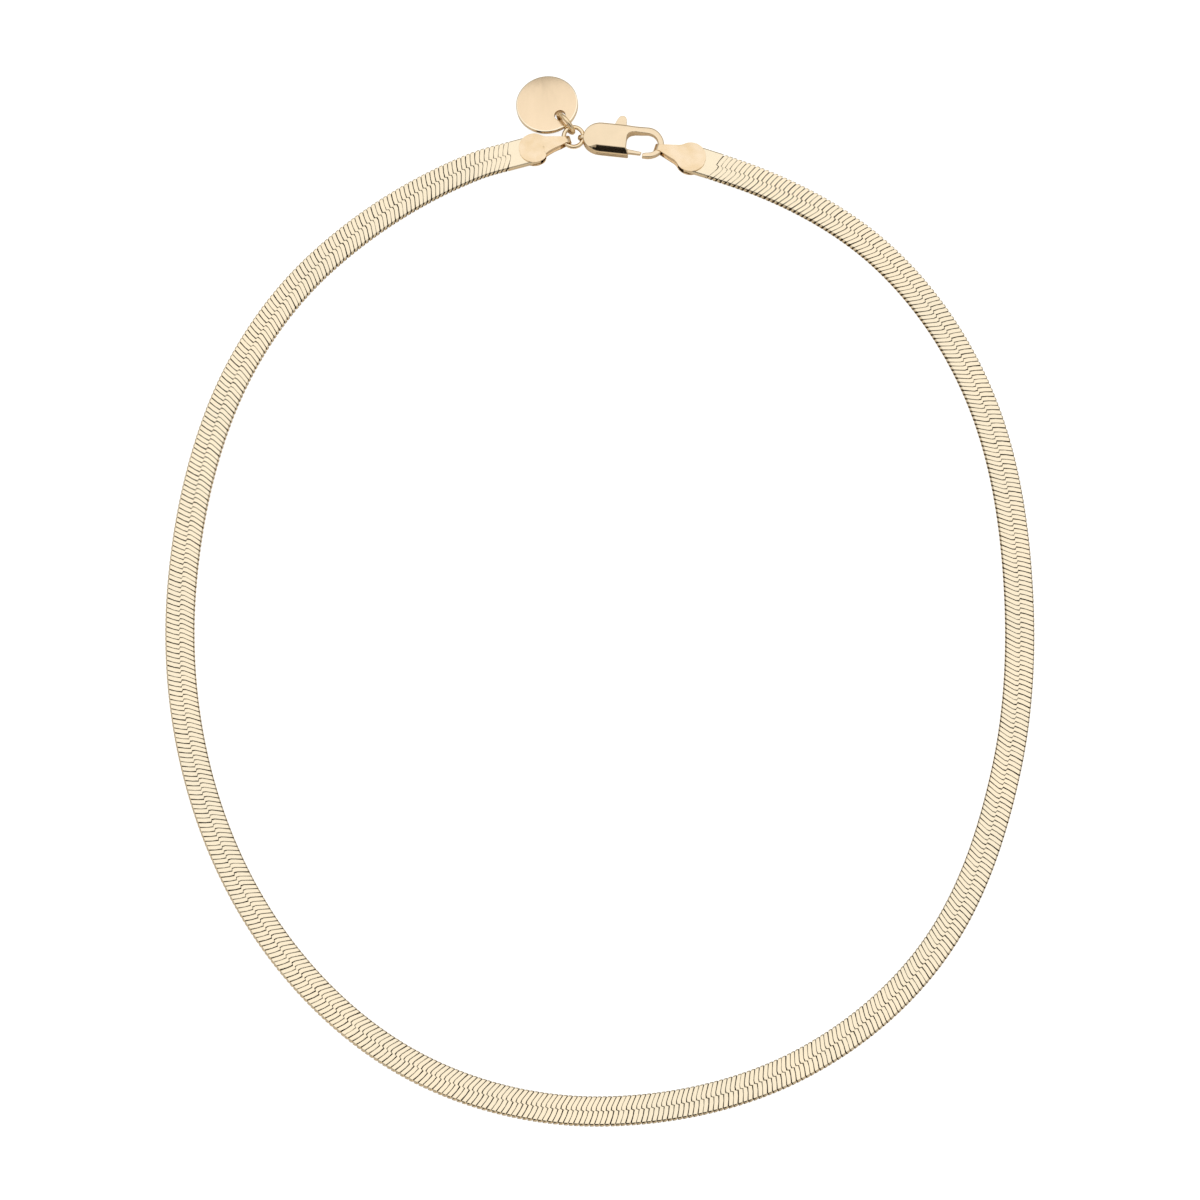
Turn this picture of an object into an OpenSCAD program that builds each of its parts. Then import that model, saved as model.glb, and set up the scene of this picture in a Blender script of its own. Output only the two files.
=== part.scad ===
// Flat herringbone neck chain, fastened and lying on a table.
// The origin is on the table under the middle of the whole piece. X runs to the right, Y to the
// clasp, Z up. Sizes are in millimetres.

/* [Chain] */
// Width of the flat band of links
band_w = 4.0; // [3.4:0.1:4.4]
// Thickness of the band
band_t = 1.1; // [0.8:0.05:1.3]

/* [End caps] */
// Thickness of the sheet that the folded caps are made of
cap_sheet = 0.3; // [0.2:0.05:0.5]
// Distance from the middle of the fold's hole to the middle of the round leaf
cap_reach = 4.45; // [3.6:0.05:6]
// Width of the leaf beyond each edge of the band
cap_margin = 0.15; // [0.1:0.05:0.4]
// Width of the strip at the fold
fold_w = 0.95; // [0.7:0.05:1.2]
// Radius of the hole that the fold leaves
fold_hole_r = 0.66; // [0.6:0.01:0.7]
// Depth of the band's end behind the middle of the leaf
cap_grip = 0.45; // [0.2:0.05:1]

/* [Jump ring] */
// Thickness of the ring's wire
ring_wire = 0.6; // [0.5:0.02:0.66]
// Diameter of the ring at the middle of its wire
ring_d = 2.76; // [2.6:0.02:3]
// Lean of the ring, far side up
ring_tilt = 14; // [10:1:18]

/* [Tag] */
// Diameter of the disc
tag_d = 8.7; // [7:0.1:9]
// Thickness of the disc
tag_t = 0.85; // [0.5:0.05:0.9]
// Diameter of the hole near the disc's edge
tag_hole_d = 1.56; // [1.5:0.02:1.8]
// Metal left between that hole and the edge
tag_web = 0.95; // [0.7:0.05:1]
// Width of the broken edge round the disc
tag_chamfer = 0.1; // [0.05:0.01:0.15]
// Thickness of the wire of the ring that carries the tag
tag_wire = 0.62; // [0.5:0.02:0.64]
// Diameter of that ring at the middle of its wire
tag_ring_d = 3.2; // [3.1:0.02:3.6]

/* [Clasp] */
// Width of the clasp's body
clasp_w = 4.7; // [4.4:0.1:5.2]
// Height of the clasp's body
clasp_t = 2.0; // [1.9:0.05:2.2]
// Radius of the body's round edges
clasp_edge = 0.7; // [0.5:0.05:0.8]
// Length of the body's tapering nose
nose_l = 3.0; // [2:0.1:3.6]
// Length of the solid body, from the middle of the eye
body_l = 6.4; // [6.2:0.05:6.8]
// Width of the claw's straight far bar
bar_w = 0.92; // [0.8:0.02:1]
// Height of that bar where it leaves the body
bar_t = 1.7; // [1.4:0.05:1.8]
// Thickness of the round claw
claw_d = 0.84; // [0.7:0.02:0.86]
// Radius of the hole in the clasp's eye
eye_r = 0.48; // [0.46:0.01:0.52]
// Width of the metal round that hole
eye_rim = 0.3; // [0.2:0.02:0.4]
// Thickness of the eye
eye_t = 0.6; // [0.4:0.05:0.7]
// Length of the mouth that the gate closes
mouth_l = 2.0; // [1.9:0.05:2.2]
// Length of the hook beyond the mouth, before it turns
hook_l = 0.6; // [0.4:0.05:1.6]

/* [Lever] */
// Thickness of the lever
lever_t = 0.8; // [0.6:0.05:0.9]
// Gap above and below the lever
lever_gap = 0.05; // [0.03:0.01:0.1]
// Width of the gate
gate_w = 0.6; // [0.5:0.02:0.66]
// Radius of the lever's round hub
hub_r = 0.56; // [0.5:0.02:0.6]
// Radius of the pin
pin_r = 0.28; // [0.2:0.01:0.32]
// Running clearance round the pin
pin_gap = 0.04; // [0.02:0.01:0.08]
// Width of the thumb nub where it leaves the body
nub_w = 1.6; // [1.2:0.1:1.8]
// Height of the thumb nub above the body's edge
nub_h = 1.35; // [1:0.05:1.6]
// Angle through which the gate opens
gate_open = 25; // [15:1:28]

/* [Hidden] */
$fn = 48;
gold = [0.90, 0.80, 0.62];
pale_gold = [0.93, 0.86, 0.72];

// Gap left between pieces that touch on the real chain
seat_gap = 0.02;
// Overlap of two shapes that make up one solid
weld = 0.02;

// The chain's route round the neck: a point on its middle line and the way it heads there, in
// degrees, from the left cap down the left side and back up the right one
ROUTE = [
    [-17.5,  61.5, -157],
    [-39,    47,   -135],
    [-52.5,  25,   -109],
    [-57.2,  -0.5,  -93],
    [-54.5, -26.5,  -75],
    [-43.5, -50,    -54],
    [-24.5, -67,    -28],
    [  0.5, -73,      1],
    [ 26,   -67,     27],
    [ 45.5, -50,     56],
    [ 55,   -26,     77],
    [ 57.2,   0,     92],
    [ 53,    26,    109],
    [ 39.5,  48,    135],
    [ 17.5,  61,    161]
];
// Sweep rings in each stretch between two of those points
STRETCH_STEPS = 6;

// The band's cross-section as shares of its width and thickness
BAND_SECTION = [
    [-0.40, 0], [0.40, 0], [0.47, 0.08], [0.50, 0.28], [0.50, 0.72], [0.47, 0.92],
    [0.40, 1], [-0.40, 1], [-0.47, 0.92], [-0.50, 0.72], [-0.50, 0.28], [-0.47, 0.08]
];

// Where the jump ring lies, and the way the clasp leaves it. The other pieces are counted from the
// clasp: the ways of the left fold, the tag's ring and the tag, and the turns of both caps, of the
// tag's ring and of the tag
ring_at = [-3.7, 65.8];
clasp_angle = -6.5;
left_link_angle = clasp_angle + 213.5;
tag_ring_way = clasp_angle + 129.5;
tag_way = clasp_angle + 134;
left_cap_angle = clasp_angle + 202.5;
right_cap_angle = clasp_angle - 11.5;
tag_ring_angle = clasp_angle + 136.5;
tag_angle = clasp_angle - 38.5;

// Heights
cap_t = band_t + 2 * cap_sheet + 2 * seat_gap;
band_lift = cap_sheet + seat_gap;
fold_z = cap_t / 2;
clasp_z = clasp_t / 2;
ring_r = ring_d / 2;
// The ring's middle lies as high as its two holders leave it
ring_z = (fold_z + clasp_z) / 2 - ring_r * sin(ring_tilt) * (sin(left_link_angle) + sin(clasp_angle)) / 2;

// Left cap: its fold hangs on the jump ring
left_fold = ring_at + ring_r * heading(left_link_angle);
// Clasp: its eye hangs on the other side of the jump ring
clasp_at = ring_at + ring_r * heading(clasp_angle);

// Claw: a half circle on the middle line of its round bar
claw_r = clasp_w / 2 - claw_d / 2;
hook_x = body_l + mouth_l;
claw_x = hook_x + hook_l;
// The round end of the opening is cut this far back into the body and lies this far off its middle
opening_back = 0.52;
opening_off = -0.1;
opening_r = clasp_w / 2 - bar_w - opening_off;
// Right cap: its fold hangs on the claw, this far round it
hook_turn = -13;
right_fold = clasp_at + turn([claw_x, 0] + claw_r * heading(hook_turn), clasp_angle);

leaf_r = band_w / 2 + cap_margin;

// Lever, in the clasp's own frame: its pivot stands this far from the body's end and side, and its
// gate lies just inside the hook's line
pivot_back = 1.2;
pivot_side = 0.9;
gate_inset = 0.07;
gate_gap = 0.08;
nub_back = 1.45;
pivot = [body_l - pivot_back, pivot_side - clasp_w / 2];
gate_y = gate_inset - claw_r;
slot_t = lever_t + 2 * lever_gap;
nub_x = body_l - nub_back;
nub_angle = atan2(clasp_w / 2 - pivot.y, nub_x - pivot.x);
// The nub's edge from its right foot over its crest to its left foot, as shares of its width from
// its middle and of its height
NUB_EDGE = [
    [0.5, 0.5], [0.4, 0.82], [0.24, 0.97], [0.1, 1], [-0.06, 0.95], [-0.2, 0.78], [-0.38, 0.4], [-0.5, 0]
];

function heading(a) = [cos(a), sin(a)];
function turn(p, a) = [p.x * cos(a) - p.y * sin(a), p.x * sin(a) + p.y * cos(a)];
function smooth(t) = t * t * (3 - 2 * t);

// Knots of the route: position, heading and height above the table as a share of band_lift.
// The band runs straight through each cap and comes down to the table beyond it.
function cap_knot(fold, angle, along) = fold + along * heading(angle);
leaf_clear = 0.1;
band_in = cap_reach - cap_grip;
band_out = cap_reach + leaf_r + leaf_clear;
left_in = cap_knot(left_fold, left_cap_angle, band_in);
left_out = cap_knot(left_fold, left_cap_angle, band_out);
right_in = cap_knot(right_fold, right_cap_angle, band_in);
right_out = cap_knot(right_fold, right_cap_angle, band_out);
last = len(ROUTE) - 1;
KNOTS = concat(
    [[left_in.x, left_in.y, left_cap_angle, 1], [left_out.x, left_out.y, left_cap_angle, 1]],
    [for (i = [0 : last]) [ROUTE[i][0], ROUTE[i][1], ROUTE[i][2], i == 0 || i == last ? 0.5 : 0]],
    [[right_out.x, right_out.y, right_cap_angle + 180, 1],
     [right_in.x, right_in.y, right_cap_angle + 180, 1]]
);

// A point of the smooth curve between knots a and b, and its direction there
function between(a, b, t) = let (m = norm([b.x - a.x, b.y - a.y]))
    smooth(1 - t) * [a.x, a.y] + smooth(t) * [b.x, b.y]
    + m * t * (1 - t) * (1 - t) * heading(a[2]) - m * t * t * (1 - t) * heading(b[2]);
function along(a, b, t) = let (m = norm([b.x - a.x, b.y - a.y]))
    6 * t * (1 - t) * [b.x - a.x, b.y - a.y]
    + m * (1 - t) * (1 - 3 * t) * heading(a[2]) - m * t * (2 - 3 * t) * heading(b[2]);
function lift(a, b, t) = band_lift * (a[3] + (b[3] - a[3]) * smooth(t));

// One ring of the sweep: the section stands upright across the route
function band_ring(a, b, t) = let (p = between(a, b, t), d = along(a, b, t), n = d / norm(d))
    [for (s = BAND_SECTION) [
        p.x - s.x * band_w * n.y,
        p.y + s.x * band_w * n.x,
        lift(a, b, t) + s.y * band_t
    ]];

module band() {
    spans = len(KNOTS) - 1;
    rings = concat(
        [for (i = [0 : spans - 1], j = [0 : STRETCH_STEPS - 1])
            band_ring(KNOTS[i], KNOTS[i + 1], j / STRETCH_STEPS)],
        [band_ring(KNOTS[spans - 1], KNOTS[spans], 1)]
    );
    sides = len(BAND_SECTION);
    last_ring = len(rings) - 1;
    function vertex(i, k) = i * sides + (k + sides) % sides;
    color(gold) polyhedron(
        points = [for (r = rings) for (p = r) p],
        faces = concat(
            [[for (k = [0 : sides - 1]) vertex(0, k)]],
            [for (i = [0 : last_ring - 1], k = [0 : sides - 1], h = [0, 1])
                h == 0 ? [vertex(i, k), vertex(i + 1, k), vertex(i, k + 1)]
                       : [vertex(i, k + 1), vertex(i + 1, k), vertex(i + 1, k + 1)]],
            [[for (k = [sides - 1 : -1 : 0]) vertex(last_ring, k)]]
        )
    );
}

// Outline of a cap from above: a strip that widens from the fold and flares into a round leaf
flare_a = 52;
strip_end = [cap_reach - 1.19 * leaf_r, 0.48 * leaf_r];
flare_mid = strip_end + leaf_r * [0.23, 0.05];
flare_end = [cap_reach - leaf_r * cos(flare_a), leaf_r * sin(flare_a)];
function flare(t) = (1 - t) * (1 - t) * strip_end + 2 * t * (1 - t) * flare_mid + t * t * flare_end;
cap_edge = concat(
    [[-cap_t / 2, fold_w / 2], [0, fold_w / 2], [fold_hole_r, fold_w * 0.71]],
    [for (t = [0 : 0.2 : 1]) flare(t)],
    [for (a = [180 - flare_a - 8 : -8 : 1]) [cap_reach, 0] + leaf_r * heading(a)],
    [[cap_reach + leaf_r, 0]]
);
cap_outline = concat(cap_edge, [for (i = [len(cap_edge) - 2 : -1 : 0]) [cap_edge[i].x, -cap_edge[i].y]]);

// A folded cap with the middle of its fold's hole at the origin and its leaf along X
module end_cap() {
    slot = band_t + 2 * seat_gap;
    difference() {
        intersection() {
            linear_extrude(cap_t) polygon(cap_outline);
            union() {
                translate([0, leaf_r, fold_z]) rotate([90, 0, 0]) cylinder(r = cap_t / 2, h = 2 * leaf_r);
                translate([0, -leaf_r, 0]) cube([cap_reach + leaf_r, 2 * leaf_r, cap_t]);
            }
        }
        translate([0, leaf_r, fold_z]) rotate([90, 0, 0]) cylinder(r = fold_hole_r, h = 2 * leaf_r);
        translate([band_in - seat_gap, -leaf_r - 1, cap_sheet]) cube([2 * leaf_r + 2, 2 * leaf_r + 2, slot]);
    }
}

module end_cap_left() {
    color(pale_gold) translate(left_fold) rotate(left_cap_angle) end_cap();
}

module end_cap_right() {
    color(pale_gold) translate(right_fold) rotate(right_cap_angle) end_cap();
}

// A ring of round wire in the XY plane
module wire_ring(d, wire) {
    rotate_extrude() translate([d / 2, 0]) circle(d = wire);
}

module jump_ring() {
    color(gold) translate([ring_at.x, ring_at.y, ring_z]) rotate([ring_tilt, 0, 0])
        wire_ring(ring_d, ring_wire);
}

// The tag's ring stands upright, through the jump ring and the tag's hole
tag_hang = 0.62;
tag_ring_at = ring_at + (ring_r + tag_hang) * heading(tag_ring_way);
tag_ring_z = (tag_ring_d + tag_wire) / 2 + seat_gap;

module tag_ring() {
    color(gold) translate([tag_ring_at.x, tag_ring_at.y, tag_ring_z])
        rotate([90, 0, tag_ring_angle]) wire_ring(tag_ring_d, tag_wire);
}

// The disc lies with its far edge on the table. The metal outside its hole rests in the tag ring,
// with its middle this far from the ring's
web_off = 0.3;
web_corner = tag_web / 2 + web_off;
hole_reach = tag_d / 2 - tag_web - tag_hole_d / 2;
rest_z = tag_ring_z - sqrt(pow((tag_ring_d - tag_wire) / 2, 2) - pow(web_corner, 2)) + 2 * seat_gap;
tag_tilt = asin(rest_z / (tag_d - tag_web));
tag_at = ring_at + (ring_r + ring_wire / 2 + tag_d / 2 + seat_gap) * heading(tag_way);

module tag_disc() {
    half = tag_d / 2;
    color(pale_gold) translate([tag_at.x, tag_at.y, half * sin(tag_tilt)])
        rotate([0, -tag_tilt, tag_angle]) difference() {
            rotate_extrude() polygon([[0, 0], [half - tag_chamfer, 0], [half, tag_chamfer],
                [half, tag_t - tag_chamfer], [half - tag_chamfer, tag_t], [0, tag_t]]);
            translate([hole_reach, 0, -1]) cylinder(d = tag_hole_d, h = tag_t + 2);
        }
}

// A flat rounded rectangle outline, one quarter at a time
function corner(w, h, r, a0) = [for (a = [a0 : 15 : a0 + 90])
    [(w / 2 - r) * sign(cos(a0 + 45)) + r * cos(a), (h / 2 - r) * sign(sin(a0 + 45)) + r * sin(a)]];

module rounded_rectangle(w, h, r) {
    polygon(concat(corner(w, h, r, 0), corner(w, h, r, 90), corner(w, h, r, 180), corner(w, h, r, 270)));
}

// The area that an arm on the pivot sweeps, as seen from above
module swept_arm(a0, a1, length, right, left) {
    polygon(concat(
        [pivot + turn([0, -right], a0), pivot + turn([length, -right], a0)],
        [for (a = [a0 + 4 : 4 : a1]) pivot + turn([length, 0], a)],
        [pivot + turn([length, left], a1), pivot + turn([0, left], a1)]
    ));
}

// The cavity in the body in which the lever turns, with room for the gate's root and for the nub
module lever_cavity() {
    root_room = 0.35;
    nub_room = nub_w / 2 + 0.1;
    translate([0, 0, clasp_z - slot_t / 2]) linear_extrude(slot_t) union() {
        translate(pivot) circle(r = hub_r + lever_gap);
        swept_arm(0, gate_open, 1.5 * pivot_back,
            pivot.y - gate_y + gate_w / 2 + lever_gap, gate_y + gate_w / 2 - pivot.y + root_room);
        swept_arm(nub_angle, nub_angle + gate_open, 1.3 * clasp_w, nub_room, nub_room);
    }
}

// The claw: a tapered bar along the far side, a half circle round the end and a short hook, which is
// a trace thinner and runs into it
module claw() {
    end_half = claw_d / 2 + 0.03;
    start = body_l - 1;
    bar_end = claw_x + weld;
    hook_start = hook_x - claw_d / 2;
    intersection() {
        translate([0, 0, -clasp_t]) linear_extrude(2 * clasp_t)
            polygon([[start, clasp_w / 2 - bar_w], [bar_end, claw_r - end_half],
                [bar_end, claw_r + end_half], [start, clasp_w / 2]]);
        rotate([90, 0, 0]) translate([0, 0, -clasp_w]) linear_extrude(2 * clasp_w)
            polygon([[start, -bar_t / 2], [bar_end, -end_half], [bar_end, end_half], [start, bar_t / 2]]);
    }
    translate([claw_x, 0, 0]) rotate(-90) rotate_extrude(angle = 180)
        translate([claw_r, 0]) circle(d = claw_d);
    difference() {
        translate([hook_start, -claw_r, 0]) rotate([0, 90, 0])
            cylinder(d = claw_d - 2 * weld, h = claw_x + claw_d / 6 - hook_start);
        translate([hook_x, -claw_r, 0]) rotate(-10) translate([-2, -1, -1]) cube([2, 2, 2]);
    }
}

// The solid body: its outline from above, its rounded section and its rounded nose, which starts
// just inside the eye's rim
module body_block() {
    tip = eye_r - 0.06;
    far = body_l + clasp_t;
    intersection() {
        translate([0, 0, -clasp_t]) linear_extrude(2 * clasp_t) polygon(concat(
            [for (a = [90 : 12 : 270]) [tip + nose_l + nose_l * cos(a), clasp_w / 2 * sin(a)]],
            [[body_l, -clasp_w / 2], [body_l, clasp_w / 2]]));
        rotate([90, 0, 90]) linear_extrude(far) rounded_rectangle(clasp_w, clasp_t, clasp_edge);
        translate([(tip + far) / 2, clasp_w, 0]) rotate([90, 0, 0]) linear_extrude(2 * clasp_w)
            rounded_rectangle(far - tip, clasp_t, clasp_edge);
    }
}

module clasp_frame() {
    translate([clasp_at.x, clasp_at.y, 0]) rotate(clasp_angle) children();
}

module clasp_body() {
    color(pale_gold) clasp_frame() difference() {
        translate([0, 0, clasp_z]) {
            difference() {
                body_block();
                translate([body_l - opening_back + opening_r, opening_off, -clasp_t])
                    cylinder(r = opening_r, h = 2 * clasp_t);
            }
            translate([0, eye_t / 2, 0]) rotate([90, 0, 0]) cylinder(r = eye_r + eye_rim, h = eye_t);
            claw();
        }
        translate([0, clasp_w, clasp_z]) rotate([90, 0, 0]) cylinder(r = eye_r, h = 2 * clasp_w);
        lever_cavity();
        translate([pivot.x, pivot.y, pin_floor])
            cylinder(r = pin_r + seat_gap / 2, h = clasp_t - 2 * pin_floor);
    }
}

// Metal left under and over the pin's blind holes
pin_floor = 0.25;

module clasp_pin() {
    color(gold) clasp_frame() translate([pivot.x, pivot.y, pin_floor + seat_gap])
        cylinder(r = pin_r, h = clasp_t - 2 * pin_floor - 2 * seat_gap);
}

module clasp_lever() {
    edge = clasp_w / 2;
    gate_end = hook_x - gate_gap;
    color(pale_gold) clasp_frame() translate([0, 0, clasp_z - lever_t / 2]) difference() {
        linear_extrude(lever_t) union() {
            translate(pivot) circle(r = hub_r);
            polygon([[pivot.x, pivot.y + hub_r], [pivot.x, pivot.y - hub_r],
                [pivot.x + hub_r, gate_y - gate_w / 2], [gate_end - 0.06, gate_y - gate_w / 2],
                [gate_end + 0.05, gate_y + gate_w / 2], [pivot.x + 1, gate_y + gate_w / 2]]);
            polygon(concat(
                [[pivot.x - hub_r, pivot.y], [pivot.x + hub_r, pivot.y],
                    [nub_x + nub_w / 2, edge - nub_w / 3]],
                [for (p = NUB_EDGE) [nub_x + p.x * nub_w, edge + p.y * nub_h]]));
        }
        translate([pivot.x, pivot.y, -1]) cylinder(r = pin_r + pin_gap, h = lever_t + 2);
    }
}

band();
end_cap_left();
end_cap_right();
jump_ring();
tag_ring();
tag_disc();
clasp_body();
clasp_pin();
clasp_lever();
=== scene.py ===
import math
import random
import bmesh
import bpy
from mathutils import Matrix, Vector


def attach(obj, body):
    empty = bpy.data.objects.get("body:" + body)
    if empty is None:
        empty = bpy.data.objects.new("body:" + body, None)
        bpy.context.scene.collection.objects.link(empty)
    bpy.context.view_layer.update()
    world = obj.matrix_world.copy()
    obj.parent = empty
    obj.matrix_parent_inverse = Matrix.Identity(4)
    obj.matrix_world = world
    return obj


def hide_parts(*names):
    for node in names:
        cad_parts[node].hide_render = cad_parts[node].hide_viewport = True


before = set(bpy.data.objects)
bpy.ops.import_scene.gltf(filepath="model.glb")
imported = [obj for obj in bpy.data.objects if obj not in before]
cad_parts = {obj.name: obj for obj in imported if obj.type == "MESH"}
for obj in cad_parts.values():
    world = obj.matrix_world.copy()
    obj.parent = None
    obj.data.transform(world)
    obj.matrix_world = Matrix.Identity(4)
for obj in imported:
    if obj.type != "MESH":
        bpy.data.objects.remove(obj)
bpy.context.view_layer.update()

# Camera: it looks down on the chain from its bottom side, 17 degrees off straight down, with a long
# lens from 0.8 m away. The frame is square.
camera_tilt = math.radians(17)
camera_reach = 0.8
camera_aim = Vector((0, -0.00165, 0))
bpy.ops.object.camera_add(
    location=camera_aim + camera_reach * Vector((0, -math.sin(camera_tilt), math.cos(camera_tilt))),
    rotation=(camera_tilt, 0, 0))
camera = bpy.context.object
camera.name = "camera"
camera.data.sensor_width = 36
camera.data.lens = 175.5
bpy.context.scene.camera = camera
bpy.context.scene.view_settings.view_transform = "Standard"

# Floor: a plain white sheet. What the camera sees of it is lit almost past any shadow. In the metal
# it shows as the warm ground that the sides of the real piece mirror, darker close beside the piece.
floor_size = 8
floor_drop = 0.00002
bpy.ops.mesh.primitive_plane_add(size=floor_size, location=(0, 0, -floor_drop))
floor = bpy.context.object
floor.name = "floor"
floor_white = bpy.data.materials.new("floor_white")
floor_white.use_nodes = True
floor_nodes = floor_white.node_tree.nodes
floor_shader = floor_nodes["Principled BSDF"]
floor_shader.inputs["Roughness"].default_value = 0.9
floor_shader.inputs["Specular IOR Level"].default_value = 0.1
floor_shader.inputs["Emission Strength"].default_value = 0.88
floor_ray = floor_nodes.new("ShaderNodeLightPath")
for socket, mirrored, seen in (("Base Color", (0.82, 0.74, 0.62, 1), (0.4, 0.4, 0.4, 1)),
                               ("Emission Color", (0.10, 0.08, 0.05, 1), (1, 1, 1, 1))):
    floor_mix = floor_nodes.new("ShaderNodeMix")
    floor_mix.data_type = "RGBA"
    floor_mix.inputs["A"].default_value = mirrored
    floor_mix.inputs["B"].default_value = seen
    floor_white.node_tree.links.new(floor_ray.outputs["Is Camera Ray"], floor_mix.inputs["Factor"])
    floor_white.node_tree.links.new(floor_mix.outputs["Result"], floor_shader.inputs[socket])
floor.data.materials.append(floor_white)

# Light: a wide soft box overhead with a brighter middle, in a pale studio that is duller on the
# camera's side and on the far side. Level faces mirror the boxes, and soft dents and edges mirror
# what lies round them.
soft_boxes = [("soft_box", (0, 0.35, 1.15), 3.2, 2.1, 0.34),
              ("soft_box_middle", (0, 0.5, 1.14), 1.9, 1.5, 0.26)]
for name, at, width, depth, radiance in soft_boxes:
    bpy.ops.object.light_add(type="AREA", location=at)
    soft_box = bpy.context.object
    soft_box.name = name
    soft_box.data.shape = "RECTANGLE"
    soft_box.data.size = width
    soft_box.data.size_y = depth
    soft_box.data.energy = radiance * math.pi * width * depth
    soft_box.data.color = (1, 0.99, 0.97)
# Two black cards over the loop, which only the metal mirrors. One shows in the clasp's near facets,
# and the other in the band's rim at the bottom of the loop.
cards = [("clasp_card", (-0.03, -0.121, 0.168), 0.12), ("rim_card", (0, -0.2645, 0.16), 0.26)]
card_depth = 0.095
card_lean = math.radians(48)
card_black = bpy.data.materials.new("card_black")
card_black.use_nodes = True
card_shader = card_black.node_tree.nodes["Principled BSDF"]
card_shader.inputs["Base Color"].default_value = (0.01, 0.01, 0.01, 1)
card_shader.inputs["Roughness"].default_value = 0.9
for name, at, width in cards:
    bpy.ops.mesh.primitive_plane_add(size=1, location=at, rotation=(card_lean, 0, 0))
    card = bpy.context.object
    card.name = name
    card.scale = (width, card_depth, 1)
    card.data.materials.append(card_black)
    card.visible_camera = False
    card.visible_diffuse = False
    card.visible_shadow = False
studio = bpy.data.worlds.new("studio")
bpy.context.scene.world = studio
studio.use_nodes = True
studio_nodes = studio.node_tree.nodes
studio_links = studio.node_tree.links
way = studio_nodes.new("ShaderNodeTexCoord")
way_parts = studio_nodes.new("ShaderNodeSeparateXYZ")
studio_links.new(way.outputs["Generated"], way_parts.inputs["Vector"])
far_share = studio_nodes.new("ShaderNodeMapRange")
far_share.inputs["From Min"].default_value = -1
studio_links.new(way_parts.outputs["Y"], far_share.inputs["Value"])
# Brightness of the studio from the camera's side (0) to the far side (1)
studio_tones = [(0.0, (0.44, 0.40, 0.34, 1)), (0.05, (0.38, 0.33, 0.25, 1)),
                (0.075, (0.36, 0.32, 0.26, 1)), (0.235, (0.42, 0.39, 0.34, 1)),
                (0.27, (0.50, 0.48, 0.45, 1)), (0.65, (0.58, 0.56, 0.53, 1)),
                (1.0, (0.40, 0.37, 0.32, 1))]
studio_ramp = studio_nodes.new("ShaderNodeValToRGB")
ramp = studio_ramp.color_ramp
for at, _ in studio_tones[1:-1]:
    ramp.elements.new(at)
for element, (at, shade) in zip(ramp.elements, studio_tones):
    element.position = at
    element.color = shade
studio_links.new(far_share.outputs["Result"], studio_ramp.inputs["Fac"])
# Further round to either side, these tones give way to one pale tone: from where, and by where
side_tone = (0.52, 0.50, 0.465, 1)
side_begin, side_full = 0.26, 0.42
sideways = studio_nodes.new("ShaderNodeMath")
sideways.operation = "ABSOLUTE"
studio_links.new(way_parts.outputs["X"], sideways.inputs[0])
side_share = studio_nodes.new("ShaderNodeMapRange")
side_share.inputs["From Min"].default_value = side_begin
side_share.inputs["From Max"].default_value = side_full
studio_links.new(sideways.outputs["Value"], side_share.inputs["Value"])
studio_mix = studio_nodes.new("ShaderNodeMix")
studio_mix.data_type = "RGBA"
studio_mix.inputs["B"].default_value = side_tone
studio_links.new(side_share.outputs["Result"], studio_mix.inputs["Factor"])
studio_links.new(studio_ramp.outputs["Color"], studio_mix.inputs["A"])
studio_links.new(studio_mix.outputs["Result"], studio_nodes["Background"].inputs["Color"])

# Gold plating: the pale yellow metal of every piece. Its tone drifts over the surface, and fine
# polishing marks roughen it a little. One group makes these patterns for every gold below.
plating = bpy.data.node_groups.new("gold_plating", "ShaderNodeTree")
for name, kind in (("Gold", "NodeSocketColor"), ("Blush", "NodeSocketColor"),
                   ("Stretch", "NodeSocketVector"), ("Drift Scale", "NodeSocketFloat"),
                   ("Mark Scale", "NodeSocketFloat"), ("Least Roughness", "NodeSocketFloat"),
                   ("Most Roughness", "NodeSocketFloat")):
    plating.interface.new_socket(name, in_out="INPUT", socket_type=kind)
for name, kind in (("Color", "NodeSocketColor"), ("Roughness", "NodeSocketFloat"),
                   ("Marks", "NodeSocketFloat")):
    plating.interface.new_socket(name, in_out="OUTPUT", socket_type=kind)
plating_in = plating.nodes.new("NodeGroupInput")
plating_out = plating.nodes.new("NodeGroupOutput")
place = plating.nodes.new("ShaderNodeTexCoord")
grain = plating.nodes.new("ShaderNodeVectorMath")
grain.operation = "MULTIPLY"
plating.links.new(place.outputs["Object"], grain.inputs[0])
plating.links.new(plating_in.outputs["Stretch"], grain.inputs[1])
drift = plating.nodes.new("ShaderNodeTexNoise")
drift.inputs["Detail"].default_value = 3
plating.links.new(grain.outputs["Vector"], drift.inputs["Vector"])
plating.links.new(plating_in.outputs["Drift Scale"], drift.inputs["Scale"])
drift_range = plating.nodes.new("ShaderNodeMapRange")
drift_range.inputs["From Min"].default_value = 0.35
drift_range.inputs["From Max"].default_value = 0.65
plating.links.new(drift.outputs["Fac"], drift_range.inputs["Value"])
tone = plating.nodes.new("ShaderNodeMix")
tone.data_type = "RGBA"
plating.links.new(drift_range.outputs["Result"], tone.inputs["Factor"])
plating.links.new(plating_in.outputs["Gold"], tone.inputs["A"])
plating.links.new(plating_in.outputs["Blush"], tone.inputs["B"])
plating.links.new(tone.outputs["Result"], plating_out.inputs["Color"])
marks = plating.nodes.new("ShaderNodeTexNoise")
marks.inputs["Detail"].default_value = 6
marks.inputs["Roughness"].default_value = 0.65
plating.links.new(grain.outputs["Vector"], marks.inputs["Vector"])
plating.links.new(plating_in.outputs["Mark Scale"], marks.inputs["Scale"])
mark_range = plating.nodes.new("ShaderNodeMapRange")
mark_range.inputs["From Min"].default_value = 0.3
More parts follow.
